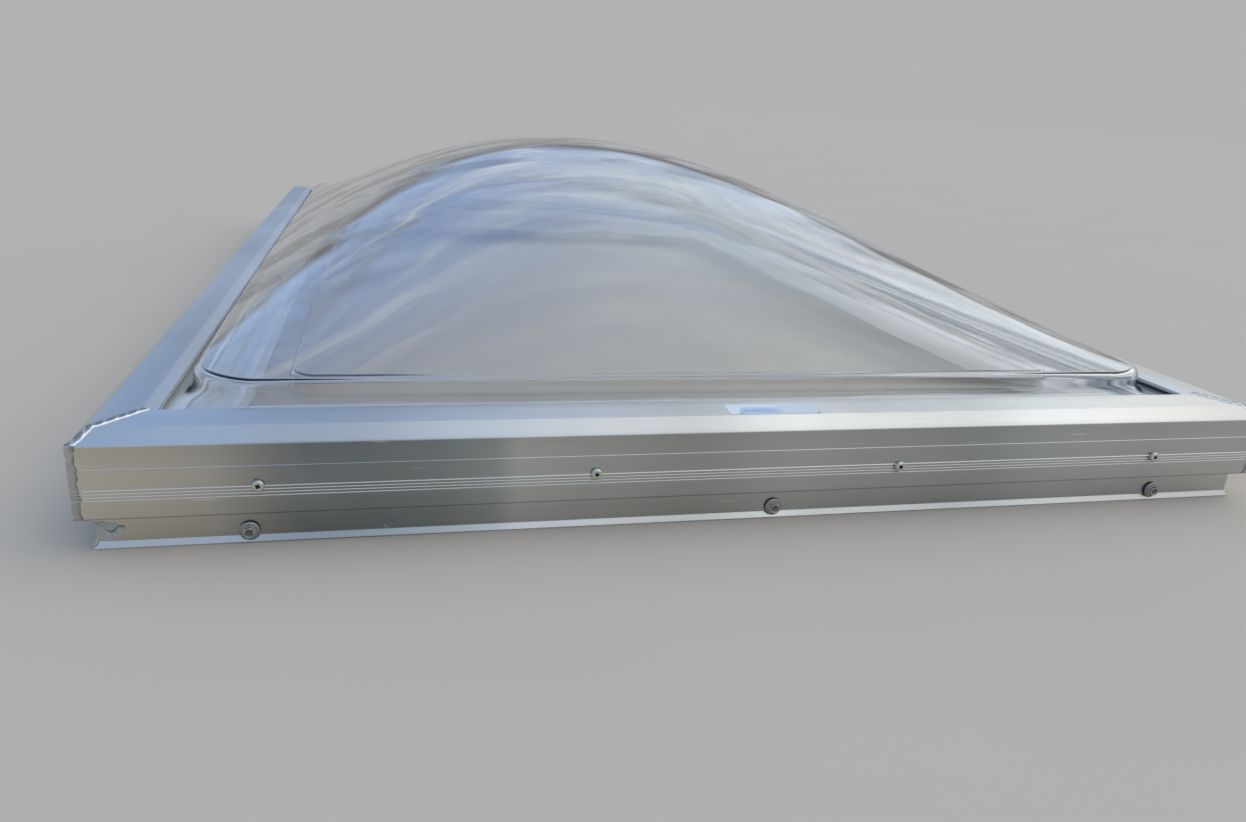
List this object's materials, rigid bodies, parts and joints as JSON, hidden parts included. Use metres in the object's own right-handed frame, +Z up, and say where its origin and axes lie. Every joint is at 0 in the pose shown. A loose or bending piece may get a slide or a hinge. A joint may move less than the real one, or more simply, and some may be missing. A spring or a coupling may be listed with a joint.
{
  "type": "roof skylight",
  "caption": "Curb-mounted roof skylight: two clear blown acrylic domes held between a hollow aluminium base frame and a mitred, welded aluminium cap frame.",
  "frame": {"origin": "centre of the plan, level with the bottom of the drip lip", "axes": "+Z up, X across the short side, Y along the long side, the front with the label faces -Y"},
  "size_m": [1.0492, 1.6588, 0.272],
  "materials": {
    "mill_aluminium": "satin",
    "weld_bead": "rough",
    "clear_acrylic": "gloss",
    "zinc_steel": "satin",
    "weathered_steel": "satin",
    "black_rubber": "matte",
    "grey_foam": "matte",
    "white_vinyl": "satin",
    "sealant": "matte",
    "label_film": "gloss"
  },
  "bodies": {
    "root": {"base_rail_front": "mill_aluminium", "base_rail_back": "mill_aluminium", "base_rail_left": "mill_aluminium", "base_rail_right": "mill_aluminium", "cap_rail_front": "mill_aluminium", "cap_rail_back": "mill_aluminium", "cap_rail_left": "mill_aluminium", "cap_rail_right": "mill_aluminium", "cap_corner_welds": "weld_bead", "corner_keys": "mill_aluminium", "corner_sealant": "sealant", "outer_dome": "clear_acrylic", "inner_dome": "clear_acrylic", "inner_trim_front": "white_vinyl", "inner_trim_back": "white_vinyl", "inner_trim_left": "white_vinyl", "inner_trim_right": "white_vinyl", "glazing_tape": "grey_foam", "spacer_tape": "grey_foam", "cap_gasket": "black_rubber", "curb_seal": "grey_foam", "cap_screws": "zinc_steel", "curb_screws": "zinc_steel", "curb_screw_washers": "weathered_steel", "curb_screw_seals": "black_rubber", "label": "label_film"}
  },
  "joints": []
}
